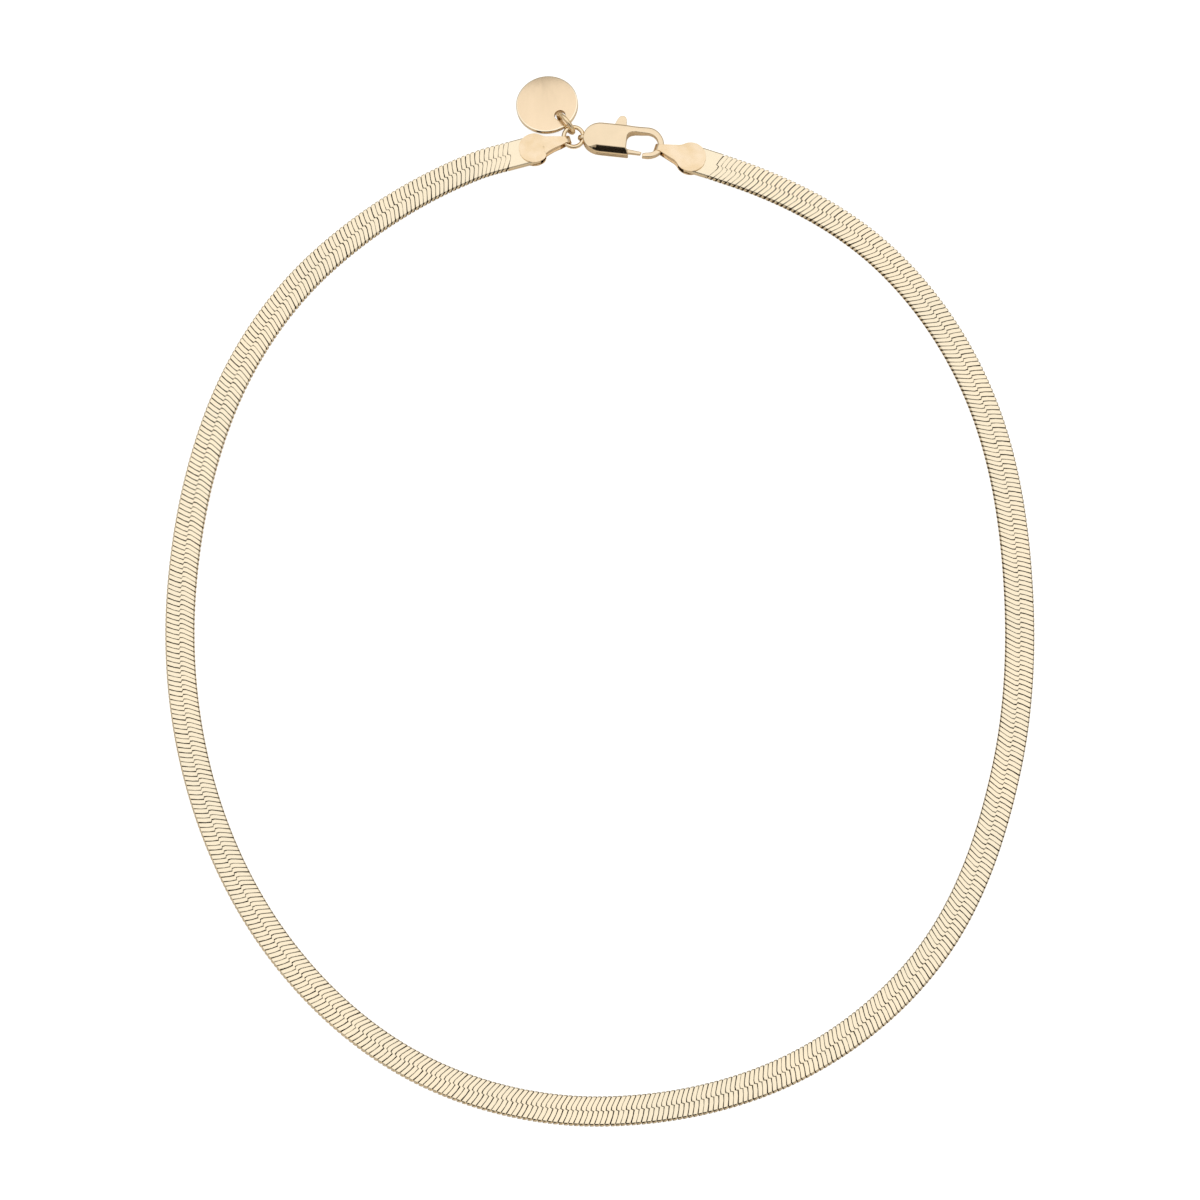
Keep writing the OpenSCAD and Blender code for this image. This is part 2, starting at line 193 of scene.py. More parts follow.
mark_range.inputs["From Max"].default_value = 0.7
plating.links.new(marks.outputs["Fac"], mark_range.inputs["Value"])
plating.links.new(plating_in.outputs["Least Roughness"], mark_range.inputs["To Min"])
plating.links.new(plating_in.outputs["Most Roughness"], mark_range.inputs["To Max"])
plating.links.new(mark_range.outputs["Result"], plating_out.inputs["Roughness"])
plating.links.new(marks.outputs["Fac"], plating_out.inputs["Marks"])


def gold_finish(name, gold, blush, roughness, drift_scale=150, mark_scale=4000, mark_depth=0.004,
                stretch=(1, 1, 1)):
    """A gold of those two tones. The scales count per metre, and the depth is in millimetres."""
    finish = bpy.data.materials.new(name)
    finish.use_nodes = True
    nodes = finish.node_tree.nodes
    links = finish.node_tree.links
    shader = nodes["Principled BSDF"]
    shader.inputs["Metallic"].default_value = 1.0
    metal = nodes.new("ShaderNodeGroup")
    metal.node_tree = plating
    metal.name = "plating"
    metal.inputs["Gold"].default_value = (*gold, 1)
    metal.inputs["Blush"].default_value = (*blush, 1)
    metal.inputs["Stretch"].default_value = stretch
    metal.inputs["Drift Scale"].default_value = drift_scale
    metal.inputs["Mark Scale"].default_value = mark_scale
    metal.inputs["Least Roughness"].default_value = roughness[0]
    metal.inputs["Most Roughness"].default_value = roughness[1]
    links.new(metal.outputs["Color"], shader.inputs["Base Color"])
    links.new(metal.outputs["Roughness"], shader.inputs["Roughness"])
    bump = nodes.new("ShaderNodeBump")
    bump.inputs["Strength"].default_value = 0.3
    bump.inputs["Distance"].default_value = mark_depth / 1000
    links.new(metal.outputs["Marks"], bump.inputs["Height"])
    links.new(bump.outputs["Normal"], shader.inputs["Normal"])
    return finish


# Band: about 550 flat links of stamped gold-plated strip, each bent to a slanting S and nested in the
# next, so that only a fine slit shows between them. Each end is a short stretch soldered solid. Like
# all pieces below it is modelled in millimetres and then set down in metres.
band_t = 1.1
band_lift = 0.32
# The route round the neck: a point on the middle line and the way it heads there, in degrees
route_knots = [
    (-17.5, 61.5, -157), (-39, 47, -135), (-52.5, 25, -109), (-57.2, -0.5, -93), (-54.5, -26.5, -75),
    (-43.5, -50, -54), (-24.5, -67, -28), (0.5, -73, 1), (26, -67, 27), (45.5, -50, 56),
    (55, -26, 77), (57.2, 0, 92), (53, 26, 109), (39.5, 48, 135), (17.5, 61, 161)
]
# The jump ring's place and radius, to the middle of its wire, and the way the clasp points from it
ring_at = Vector((-3.7, 65.8))
ring_r = 1.38
clasp_turn = -6.5
# A cap's length from its fold to the middle of its round leaf, and the leaf's radius. The band ends
# so far past that middle, and stays level until so far outside the leaf.
cap_reach = 4.45
leaf_r = 2.15
cap_grip = 0.45
leaf_clear = 0.1
# The claw's half circle: its middle along the clasp, its radius, and where the right cap hangs on it
claw_x = 9.0
claw_r = 1.93
claw_turn = -13


def heading(degrees):
    """The unit vector that points that way in the table's plane."""
    return Vector((math.cos(math.radians(degrees)), math.sin(math.radians(degrees))))


left_turn = clasp_turn + 202.5
right_turn = clasp_turn - 11.5
left_fold = ring_at + ring_r * heading(clasp_turn + 213.5)
clasp_at = ring_at + ring_r * heading(clasp_turn)
right_fold = clasp_at + claw_x * heading(clasp_turn) + claw_r * heading(clasp_turn + claw_turn)
band_in = cap_reach - cap_grip
band_out = cap_reach + leaf_r + leaf_clear
knots = [(left_fold + band_in * heading(left_turn), left_turn, 1),
         (left_fold + band_out * heading(left_turn), left_turn, 1)]
for i, (x, y, degrees) in enumerate(route_knots):
    knots.append((Vector((x, y)), degrees, 0.5 if i in (0, len(route_knots) - 1) else 0))
knots += [(right_fold + band_out * heading(right_turn), right_turn + 180, 1),
          (right_fold + band_in * heading(right_turn), right_turn + 180, 1)]

bpy.ops.object.select_all(action="DESELECT")
bpy.ops.curve.primitive_bezier_curve_add(location=(0, 0, 0))
route = bpy.context.object
route.name = "route"
route.data.dimensions = "3D"
route.data.twist_mode = "Z_UP"
route.data.resolution_u = 48
spline = route.data.splines[0]
spline.bezier_points.add(len(knots) - 2)
for i, (at, degrees, height) in enumerate(knots):
    before = (at - knots[max(i - 1, 0)][0]).length / 3
    after = (knots[min(i + 1, len(knots) - 1)][0] - at).length / 3
    knot = spline.bezier_points[i]
    knot.handle_left_type = "FREE"
    knot.handle_right_type = "FREE"
    knot.co = (*at, height * band_lift)
    knot.handle_left = (*(at - before * heading(degrees)), height * band_lift)
    knot.handle_right = (*(at + after * heading(degrees)), height * band_lift)
route_length = spline.calc_length()

link_count = 552
# The soldered stretch shows for so far outside the leaf
plain_show = 1.6
plain_length = cap_grip + leaf_r + plain_show
link_pitch = (route_length - 2 * plain_length) / link_count
slit = 0.108
# Depth of the ridge along one side of a link, which lies in the groove of the next link
nest = 0.3
# Fall and width of the crown on each side of a link's top
crown = 0.016
crown_w = 0.1
# A link lies at most this far off its place along the band, and leans at most this much
most_shift = 0.024
most_lean = 0.022
# The links next to a soldered end are a little longer: how many they are, and how much the first is
snug_links = 9
snug_growth = 0.075
# The soldered stretches end this far inside the ends of the route
route_margin = 0.05
# Stations across a link, from the band's outer edge to its inner one: how far across, how far along
# the band, how much shorter the link is there, and the share of the height
link_stations = [
    (-1.99, 0.00, 0.30, 0.60), (-1.95, 0.02, 0.20, 0.836), (-1.80, 0.07, 0.05, 1.00),
    (-0.85, 0.42, 0.00, 1.00), (-0.12, 0.60, 0.05, 1.00), (0.03, 0.28, 0.05, 1.00),
    (0.45, 0.33, 0.00, 1.00), (1.05, 0.62, 0.00, 1.00), (1.80, 1.02, 0.05, 1.00),
    (1.95, 1.10, 0.20, 0.836), (1.99, 1.12, 0.30, 0.60)
]
link_skew = link_stations[-1][1]


def pick(kind, chosen):
    """In edit mode, selects just the vertices, edges or faces that the test accepts."""
    bpy.ops.mesh.select_mode(type=kind)
    bpy.ops.mesh.select_all(action="DESELECT")
    mesh = bmesh.from_edit_mesh(bpy.context.object.data)
    mesh.normal_update()
    for item in {"VERT": mesh.verts, "EDGE": mesh.edges, "FACE": mesh.faces}[kind]:
        item.select = bool(chosen(item))
    mesh.select_flush_mode()
    bmesh.update_edit_mesh(bpy.context.object.data)


def draw_out(stations):
    """Extrudes what is selected from station to station. Each is a place and a size along X, Y, Z."""
    for (was_at, was_size), (at, size) in zip(stations, stations[1:]):
        step = Vector(at) - Vector(was_at)
        bpy.ops.mesh.extrude_region_move(TRANSFORM_OT_translate={"value": step})
        growth = [new / old for new, old in zip(size, was_size)]
        bpy.ops.transform.resize(value=growth, center_override=at)


def apply_modifier(piece, kind, **settings):
    """Adds one modifier with those settings and applies it."""
    bpy.ops.object.select_all(action="DESELECT")
    piece.select_set(True)
    bpy.context.view_layer.objects.active = piece
    bpy.ops.object.modifier_add(type=kind)
    modifier = piece.modifiers[-1]
    for name, value in settings.items():
        setattr(modifier, name, value)
    bpy.ops.object.modifier_apply(modifier=modifier.name)


def join_to(piece, others):
    """Makes the other objects part of that one."""
    bpy.ops.object.select_all(action="DESELECT")
    for other in [piece, *others]:
        other.select_set(True)
    bpy.context.view_layer.objects.active = piece
    bpy.ops.object.join()


def set_down(piece, at=(0, 0, 0), turn=(0, 0, 0), smooth_to=35):
    """Brings a piece from its own frame in millimetres to its place on the table in metres."""
    bpy.ops.object.select_all(action="DESELECT")
    piece.select_set(True)
    bpy.context.view_layer.objects.active = piece
    piece.scale = (0.001, 0.001, 0.001)
    piece.rotation_euler = [math.radians(degrees) for degrees in turn]
    piece.location = Vector(at) * 0.001
    bpy.ops.object.transform_apply(location=True, rotation=True, scale=True)
    bpy.ops.object.shade_smooth_by_angle(angle=math.radians(smooth_to))


def nested_strip(name, length):
    """One link of that length, or a stretch of links soldered into one: a strip across the band
    with a crowned top, a ridge along one side, a groove along the other and finger-round ends."""
    middle = band_t / 2
    bpy.ops.object.select_all(action="DESELECT")
    bpy.ops.mesh.primitive_plane_add(size=1, rotation=(math.pi / 2, 0, 0), location=(0, 0, 0))
    strip = bpy.context.object
    strip.name = name
    bpy.ops.object.transform_apply(rotation=True)
    bpy.ops.object.mode_set(mode="EDIT")
    pick("EDGE", lambda e: abs(e.verts[0].co.x - e.verts[1].co.x) < 0.1)
    bpy.ops.mesh.subdivide(number_cuts=1)
    pick("VERT", lambda v: abs(v.co.z) < 0.1)
    bpy.ops.transform.translate(value=(nest / length, 0, 0))
    pick("EDGE", lambda e: all(v.co.z > 0.4 for v in e.verts))
    bpy.ops.mesh.subdivide(number_cuts=2)
    pick("VERT", lambda v: v.co.z > 0.4 and abs(v.co.x) > 0.4)
    bpy.ops.transform.translate(value=(0, 0, -crown / band_t))
    pick("VERT", lambda v: v.co.z > 0.49)
    # These two points, a sixth of the length from the middle, go out to where the crown begins
    bpy.ops.transform.resize(value=(3 - 6 * crown_w / length, 1, 1), center_override=(0, 0, 0))
    bpy.ops.mesh.select_all(action="SELECT")
    stations = [((along, across, middle), (length - shorter, 1, band_t * high_share))
                for across, along, shorter, high_share in link_stations]
    bpy.ops.transform.resize(value=stations[0][1], center_override=(0, 0, 0))
    bpy.ops.transform.translate(value=stations[0][0])
    draw_out(stations)
    bpy.ops.mesh.select_all(action="SELECT")
    bpy.ops.mesh.normals_make_consistent(inside=False)
    strip.data.materials.append(band_gold)
    strip.data.materials.append(slit_painted_shade)
    # The slit walls take the dark slit gold: painted shade deep in the slits, with some residue.
    pick("FACE", lambda f: abs(f.normal.x) > 0.75)
    strip.active_material_index = 1
    bpy.ops.object.material_slot_assign()
    bpy.ops.object.mode_set(mode="OBJECT")
    return strip


band_gold = gold_finish("band_gold", (0.84, 0.75, 0.58), (0.88, 0.77, 0.585), (0.10, 0.22), 90)
# The dark slit gold is painted shade of the deep, narrow slits, together with some residue in them.
slit_painted_shade = gold_finish("slit_painted_shade", (0.08, 0.05, 0.015), (0.19, 0.135, 0.05), (0.4, 0.6), 120)
band = nested_strip("band_links", link_pitch - slit)
link_vertices = len(band.data.vertices)
apply_modifier(band, "ARRAY", count=link_count, use_relative_offset=False, use_constant_offset=True,
               constant_offset_displace=(link_pitch, 0, 0))
# No two slits are quite alike: each link lies a trace off its place and leans a trace. Next to the
# soldered ends the links lie closer.
slack = random.Random(11)
for i in range(link_count):
    shift = slack.uniform(-most_shift, most_shift)
    lean = slack.uniform(-most_lean, most_lean)
    from_end = min(i, link_count - 1 - i)
    swell = 1 + max(0, 1 - from_end / snug_links) * snug_growth / (link_pitch - slit)
    if from_end < snug_links:
        shift = 0
    place = plain_length + (i + 0.5) * link_pitch
    for vertex in band.data.vertices[i * link_vertices:(i + 1) * link_vertices]:
        own_x = vertex.co.x - i * link_pitch - link_skew / 2
        vertex.co.x = place + own_x * swell + shift + lean * vertex.co.y / 2
ends = []
for name, start, hidden in (("band_end_left", 0, route_margin),
                            ("band_end_right", route_length - plain_length,
                             route_length - route_margin)):
    end = nested_strip(name, plain_length - slit)
    bpy.ops.object.mode_set(mode="EDIT")
    bpy.ops.mesh.select_all(action="SELECT")
    bpy.ops.transform.translate(value=(start + plain_length / 2 - link_skew / 2, 0, 0))
    half = start + plain_length / 2
    pick("VERT", lambda v: (v.co.x < half) == (start == 0))
    bpy.ops.transform.resize(value=(0, 1, 1), center_override=(hidden, 0, 0))
    bpy.ops.object.mode_set(mode="OBJECT")
    ends.append(end)
for piece in [band, *ends]:
    apply_modifier(piece, "CURVE", object=route)
join_to(band, ends)
set_down(band, smooth_to=6)
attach(band, "necklace")
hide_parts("band")
bpy.data.objects.remove(route)

# End caps: each is a strip of sheet folded over a ring or the claw, whose two round leaves hold the
# band's soldered end between them. The left one is pressed in at one corner, where its leaf begins.
cap_sheet = 0.21
cap_t = 1.74
cap_edge = 0.05
# Height of the upper sheet's middle over the middle of the cap
sheet_z = cap_t / 2 - cap_sheet / 2
fold_half_w = 0.475
strip_x = 0.66
# Fall of the leaf's rim, and how far inwards it is felt
rim_fall = 0.07
rim_reach = 0.7
# The core between the two sheets stays this far inside their edges
core_inset = 0.09
# Half-widths of the cap from the fold to the leaf: how far along it, on a plain side and on the
# pressed-in one
flare = [(0.66, 0.675, 0.64), (1.28, 0.85, 0.72), (1.89, 1.03, 0.84), (2.35, 1.14, 0.97),
         (2.75, 1.34, 1.10), (3.10, 1.64, 1.24), (3.20, 1.74, 1.66)]
leaf_angles = [118, 106, 94, 82, 70, 58, 46, 34, 22, 10]
for degrees in leaf_angles:
    edge = leaf_r * heading(degrees)
    flare.append((cap_reach + edge.x, edge.y, edge.y))
cap_gold = gold_finish("cap_gold", (0.85, 0.70, 0.515), (0.79, 0.62, 0.405), (0.08, 0.16), 520)


def folded_cap(name, node, fold, turn, pressed_in, dents):
    """A cap on the fold at that place. A dent is how far along, across and up, and how wide."""
    rungs = []
    for x, low, pressed in flare:
        high = pressed if pressed_in else low
        rungs.append(((x, (high - low) / 2, sheet_z), (1, (high + low) / 2, 1)))
    bpy.ops.object.select_all(action="DESELECT")
    bpy.ops.mesh.primitive_plane_add(size=1, location=(0, 0, 0))
    cap = bpy.context.object
    cap.name = name
    bpy.ops.object.mode_set(mode="EDIT")
    bpy.ops.transform.resize(value=(strip_x, 2 * fold_half_w, 1), center_override=(0, 0, 0))
    bpy.ops.transform.translate(value=(strip_x / 2, 0, sheet_z))
    pick("EDGE", lambda e: all(v.co.x < 0.01 for v in e.verts))
    bpy.ops.mesh.spin(steps=7, angle=math.pi / 2, center=(0, 0, 0), axis=(0, 1, 0))
    pick("EDGE", lambda e: all(v.co.x > strip_x - 0.01 for v in e.verts))
    bpy.ops.transform.resize(value=(1, rungs[0][1][1] / fold_half_w, 1), center_override=(0, 0, sheet_z))
    bpy.ops.transform.translate(value=(0, rungs[0][0][1], 0))
    draw_out(rungs)
    pick("EDGE", lambda e: abs(e.verts[0].co.y - e.verts[1].co.y) > 0.9 * e.calc_length())
    bpy.ops.mesh.subdivide(number_cuts=7)
    pick("VERT", lambda v: v.is_boundary and v.co.x > rungs[6][0][0] - 0.01)
    bpy.ops.transform.translate(value=(0, 0, -rim_fall), use_proportional_edit=True,
                                proportional_edit_falloff="SPHERE", proportional_size=rim_reach)
    for along, across, rise, reach in dents:
        mesh = bmesh.from_edit_mesh(cap.data)
        nearest = min(mesh.verts, key=lambda v: (v.co.x - along) ** 2 + (v.co.y - across) ** 2
                      + (v.co.z - sheet_z) ** 2)
        spot = nearest.index
        pick("VERT", lambda v: v.index == spot)
        bpy.ops.transform.translate(value=(0, 0, rise), use_proportional_edit=True,
                                    proportional_edit_falloff="SMOOTH", proportional_size=reach)
    bpy.ops.object.mode_set(mode="OBJECT")
    apply_modifier(cap, "MIRROR", use_axis=(False, False, True), merge_threshold=0.002)
    apply_modifier(cap, "SOLIDIFY", thickness=cap_sheet, offset=0)
    bpy.ops.object.select_all(action="DESELECT")
    bpy.ops.mesh.primitive_plane_add(size=1, rotation=(0, math.pi / 2, 0), location=(0, 0, 0))
    core = bpy.context.object
    bpy.ops.object.transform_apply(rotation=True)
    bpy.ops.object.mode_set(mode="EDIT")
    core_rungs = [((x, y, 0), (1, 2 * (half - core_inset), 2 * sheet_z - cap_sheet / 2))
                  for (x, y, _), (_, half, _) in rungs[:6]]
    core_rungs[0] = ((strip_x + 0.1, core_rungs[0][0][1], 0), core_rungs[0][1])
    bpy.ops.transform.resize(value=core_rungs[0][1], center_override=(0, 0, 0))
    bpy.ops.transform.translate(value=core_rungs[0][0])
    draw_out(core_rungs)
    bpy.ops.mesh.select_all(action="SELECT")
    bpy.ops.mesh.normals_make_consistent(inside=False)
    bpy.ops.object.mode_set(mode="OBJECT")
    join_to(cap, [core])
    apply_modifier(cap, "BEVEL", width=cap_edge, segments=3, limit_method="ANGLE",
                   angle_limit=math.radians(50))
    set_down(cap, at=(*fold, cap_t / 2), turn=(0, 0, turn))
    cap.data.materials.append(cap_gold)
    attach(cap, "necklace")
    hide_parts(node)


folded_cap("end_cap_left_sheet", "end_cap_left", left_fold, left_turn, True,
           [(2.6, -0.3, -0.05, 0.8), (4.2, -0.4, -0.05, 0.9), (4.9, 0.7, -0.03, 0.8)])
folded_cap("end_cap_right_sheet", "end_cap_right", right_fold, right_turn, False,
           [(3.3, -0.2, -0.04, 0.9), (4.1, 0.5, -0.05, 0.9)])

# Jump ring and tag ring: round wire bent to a circle, with its two ends butted. The jump ring leans
# on its two neighbours, and the tag's ring stands upright through it.
ring_gold = gold_finish("ring_gold", (0.93, 0.78, 0.56), (0.86, 0.69, 0.46), (0.07, 0.14), 400)
ring_wire = 0.6
# The split between a ring's two ends, in degrees, and the rim and rise of the ends' faces
ring_split = 0.6
butt_rim, butt_rise = 0.03, 0.012
ring_lean = 14
ring_z = 1.03
tag_wire = 0.62
tag_ring_r = 1.6
tag_ring_at = Vector((-4.789, 67.477))
tag_ring_z = tag_ring_r + tag_wire / 2 + 0.02


def wire_ring(name, node, radius, wire, split_at, at, turn):
    """A ring in the XY plane, butted at that angle, and then turned and set in its place."""
    bpy.ops.object.select_all(action="DESELECT")
    bpy.ops.mesh.primitive_circle_add(vertices=16, radius=wire / 2, fill_type="NGON",
                                      location=(radius, 0, 0), rotation=(math.pi / 2, 0, 0))
    ring = bpy.context.object
    ring.name = name
    bpy.ops.object.transform_apply(location=True, rotation=True)
    bpy.ops.object.mode_set(mode="EDIT")
    bpy.ops.mesh.select_all(action="SELECT")
    bpy.ops.mesh.spin(steps=56, angle=math.radians(360 - ring_split), center=(0, 0, 0),
                      axis=(0, 0, 1))
    bpy.ops.mesh.select_all(action="SELECT")
    bpy.ops.mesh.normals_make_consistent(inside=False)
    pick("FACE", lambda f: len(f.verts) > 4)
    bpy.ops.mesh.inset(thickness=butt_rim, depth=butt_rise)
    bpy.ops.object.mode_set(mode="OBJECT")
    ring.rotation_euler.z = math.radians(split_at)
    bpy.ops.object.transform_apply(rotation=True)
    set_down(ring, at=at, turn=turn, smooth_to=45)
    ring.data.materials.append(ring_gold)
    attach(ring, "necklace")
    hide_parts(node)


wire_ring("jump_ring_wire", "jump_ring", ring_r, ring_wire, 207, (*ring_at, ring_z), (ring_lean, 0, 0))
wire_ring("tag_ring_wire", "tag_ring", tag_ring_r, tag_wire, -90, (*tag_ring_at, tag_ring_z),
          (90, 0, clasp_turn + 136.5))

# Tag: a round blank of flat plate with a broken edge and a drilled hole, hung in its ring so that it
# lies with its far edge on the table. Its face is bare.
tag_d = 8.69
tag_t = 0.85
tag_hole_d = 1.56
tag_web = 0.95
tag_tilt = 6.96
tag_turn = clasp_turn - 38.5
tag_at = Vector((-7.383, 70.6))
tag_edge = 0.04
# Width of the sloped border of each face, and the share of the thickness that is left at its outer edge
border_w = 0.17
worn_share = 0.88
tag_gold = gold_finish("tag_gold", (0.82, 0.66, 0.47), (0.86, 0.695, 0.50), (0.14, 0.24), 300,
                       stretch=(1, 0.15, 1))
# The rim gold is lighter and glossier than the face: a painted highlight along the sloped border.
tag_rim_highlight = gold_finish("tag_rim_highlight", (0.97, 0.88, 0.72), (0.95, 0.84, 0.66), (0.05, 0.10), 300)
bpy.ops.object.select_all(action="DESELECT")
bpy.ops.mesh.primitive_cylinder_add(vertices=96, radius=tag_d / 2, depth=tag_t,
                                    location=(0, 0, tag_t / 2))
tag = bpy.context.object
tag.name = "tag_disc_plate"
bpy.ops.object.transform_apply(location=True)
bpy.ops.object.select_all(action="DESELECT")
bpy.ops.mesh.primitive_cylinder_add(vertices=48, radius=tag_hole_d / 2, depth=3 * tag_t,
                                    location=(tag_d / 2 - tag_web - tag_hole_d / 2, 0, tag_t / 2))
drill = bpy.context.object
apply_modifier(tag, "BOOLEAN", operation="DIFFERENCE", object=drill, solver="EXACT")
bpy.data.objects.remove(drill)
bpy.ops.object.mode_set(mode="EDIT")
pick("FACE", lambda f: abs(f.normal.z) > 0.9)
bpy.ops.mesh.inset(thickness=border_w, depth=0)
pick("VERT", lambda v: abs(v.co.xy.length - tag_d / 2) < 0.01)
bpy.ops.transform.resize(value=(1, 1, worn_share), center_override=(0, 0, tag_t / 2))
tag.data.materials.append(tag_gold)
tag.data.materials.append(tag_rim_highlight)
# The sloped border takes the rim gold, as a painted highlight.
pick("FACE", lambda f: f.calc_center_median().xy.length > tag_d / 2 - border_w)
tag.active_material_index = 1
bpy.ops.object.material_slot_assign()
bpy.ops.object.mode_set(mode="OBJECT")
apply_modifier(tag, "BEVEL", width=tag_edge, segments=2, limit_method="ANGLE",
               angle_limit=math.radians(50))
set_down(tag, at=(*tag_at, tag_d / 2 * math.sin(math.radians(tag_tilt))),
         turn=(0, -tag_tilt, tag_turn), smooth_to=40)
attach(tag, "necklace")
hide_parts("tag_disc")

# Clasp body: cast in one piece and polished all over, so that all its edges are soft. A small eye,
# a solid body with a cavity for the lever, and a bar that thins into a round claw with a hook.
clasp_w = 4.7
clasp_t = 2.0
# The body's round nose: where it begins, how long it is, the angles at which its stations are taken,
# the least share of the height, at its tip, and how long the height takes to grow full
nose_tip = -0.05
nose_l = 2.5
nose_angles = (8, 18, 28, 38, 48, 58, 68, 79, 90)
nose_high = 0.76
nose_rise = 0.9
# The body's far side and its near side, how round their edges are, and where the body ends
far_edge = 2.35
far_round = 0.32
near_edge = -1.98
near_foot = 0.16
body_l = 6.08
# Facets are ground along its near upper edge: how far across and how high each starts, and how far
# it leans over. Round the nose they shrink to a share of their full size, station by station.
facets = [(-1.04, 1.0, 31), (-1.42, 0.772, 39), (-1.86, 0.416, 62)]
facet_run = [0.05, 0.05, 0.05, 0.05, 0.06, 0.3, 0.7, 1, 1, 1, 1]
# The near side's last stretch reaches on towards the hook: from where, and how much further
flare_l = 1.2
end_flare = [(-1.38, 0.22), (-1.8, 0.2)]
# The bar that runs out of the body into the claw
bar_x = 5.2
bar_w = 0.92
bar_t = 2.0
bar_y = (clasp_w - bar_w) / 2
bar_foot = 0.14
# Along the bar: how far along, how far across, and its share of the full height. Its width shrinks too,
# from where it thins to the claw.
bar_thins_at = 6
bar_run = [(bar_x, bar_y, 1.0), (6.0, 1.89, 1.0), (6.5, 1.89, 0.92), (7.0, 1.9, 0.83),
           (7.5, 1.905, 0.75), (8.0, 1.915, 0.67), (8.5, 1.925, 0.58), (9.0, 1.93, 0.5)]
claw_d = 0.84
# The hook at the claw's end: how far along it ends, how far it leans out, and its share of the size
hook_x = 8.45
hook_lean = 0.1
hook_size = (1, 0.78, 0.86)
hook_flat = 0.86
# The claw's far side, outside that line, grows by so much from each of these places on
fuller_at = (7.4, 7.9, 8.4, 8.9)
fuller_growth = 1.04
fuller_y = 1.5
# The web between body and bar: how far across it lies, how wide and how round it is, and along it its
# share of the bar's height
web_y = 1.15
web_w = 1.3
web_round = 0.05
web_run = [(5.8, 1), (6.0, 1), (6.5, 0.92), (7.0, 0.83)]
# The opening between body and bar, with its far and its near corner rounded
opening_start, opening_end = 6.06, 9.0
opening_low, opening_high = -1.25, 1.42
opening_round = 0.9
opening_foot = 0.4
eye_r = 0.48
eye_rim = 0.3
eye_t = 0.6
eye_edge = 0.12
clasp_gold = gold_finish("clasp_gold", (0.82, 0.675, 0.485), (0.77, 0.635, 0.455), (0.06, 0.12), 300)


def upright_section(name, x, y, width, height, far_corner, near_corner, segments=5):
    """A rectangle that stands across the X axis at that place, left in edit mode, with its far and
    its near corners rounded by so much."""
    bpy.ops.object.select_all(action="DESELECT")
    bpy.ops.mesh.primitive_plane_add(size=1, rotation=(0, math.pi / 2, 0), location=(0, 0, 0))
    section = bpy.context.object
    section.name = name
    bpy.ops.object.transform_apply(rotation=True)
    bpy.ops.object.mode_set(mode="EDIT")
    bpy.ops.mesh.select_all(action="SELECT")
    bpy.ops.transform.resize(value=(1, width, height), center_override=(0, 0, 0))
    bpy.ops.transform.translate(value=(x, y, 0))
    pick("VERT", lambda v: v.co.y > y)
    bpy.ops.mesh.bevel(offset=far_corner, segments=segments, affect="VERTICES")
    pick("VERT", lambda v: v.co.y < y - width / 2 + 0.001)
    bpy.ops.mesh.bevel(offset=near_corner, segments=segments, affect="VERTICES")
    bpy.ops.mesh.select_all(action="SELECT")
    return section


def close_up():
    """Ends the edit of a closed form with its faces turned outwards."""
    bpy.ops.mesh.select_all(action="SELECT")
    bpy.ops.mesh.normals_make_consistent(inside=False)
    bpy.ops.object.mode_set(mode="OBJECT")


body = upright_section("clasp_body_cast", nose_tip, (far_edge + near_edge) / 2, far_edge - near_edge,
                       clasp_t, far_round, near_foot)
for y, z, lean in facets:
    bpy.ops.mesh.select_all(action="SELECT")
    bpy.ops.mesh.bisect(plane_co=(0, y, z), clear_outer=True,
                        plane_no=(0, -math.sin(math.radians(lean)), math.cos(math.radians(lean))))
bpy.ops.mesh.select_all(action="SELECT")
rungs = []
for degrees in nose_angles:
    along = nose_l * (1 - math.cos(math.radians(degrees)))
    high = min(1, nose_high + (1 - nose_high) * (along / nose_rise) ** 0.5)
    rungs.append(((nose_tip + along, 0, 0), (1, math.sin(math.radians(degrees)), high)))
rungs += [((body_l - flare_l, 0, 0), (1, 1, 1)), ((body_l, 0, 0), (1, 1, 1))]
bpy.ops.transform.resize(value=rungs[0][1], center_override=(nose_tip, 0, 0))
bpy.ops.transform.translate(value=(rungs[0][0][0] - nose_tip, 0, 0))
draw_out(rungs)
for ((x, _, _), (_, wide, high)), share in zip(rungs, facet_run):
    edge = near_edge * wide
    pick("VERT", lambda v: abs(v.co.x - x) < 0.01 and v.co.y < 0.45 * edge and v.co.z > -0.2)
    bpy.ops.transform.resize(value=(1, share, share), center_override=(x, edge, clasp_t / 2 * high))
for y, step in end_flare:
    pick("VERT", lambda v: v.co.x > body_l - 0.1 and v.co.y < y)
    bpy.ops.transform.translate(value=(step, 0, 0))
close_up()

claw = upright_section("claw", bar_x, bar_y, bar_w, bar_t, far_round, bar_foot, 4)
bar_stations = []
for x, y, high in bar_run:
    thin = 1 - (1 - claw_d / bar_w) * max(0, x - bar_thins_at) / (claw_x - bar_thins_at)
    bar_stations.append(((x, y, 0), (1, thin, high)))
draw_out(bar_stations)
bpy.ops.mesh.spin(steps=24, angle=math.pi, center=(claw_x, 0, 0), axis=(0, 0, 1))
draw_out([((claw_x, -claw_r, 0), (1, 1, 1)), ((hook_x, -claw_r - hook_lean, 0), hook_size)])
# The hook's side of the oval is the flatter one, and its far side the fuller one
pick("VERT", lambda v: v.co.y < 0)
bpy.ops.transform.resize(value=(1, hook_flat, 1), center_override=(0, 0, 0))
for x in fuller_at:
    pick("VERT", lambda v: v.co.x > x and v.co.y > fuller_y)
    bpy.ops.transform.resize(value=(1, fuller_growth, 1), center_override=(0, fuller_y, 0))
close_up()

# The web fills the corner between body and bar, so that the opening is a smooth oval
web = upright_section("web", web_run[0][0], web_y, web_w, bar_t, web_round, web_round, 1)
draw_out([((x, web_y, 0), (1, 1, high)) for x, high in web_run])
close_up()

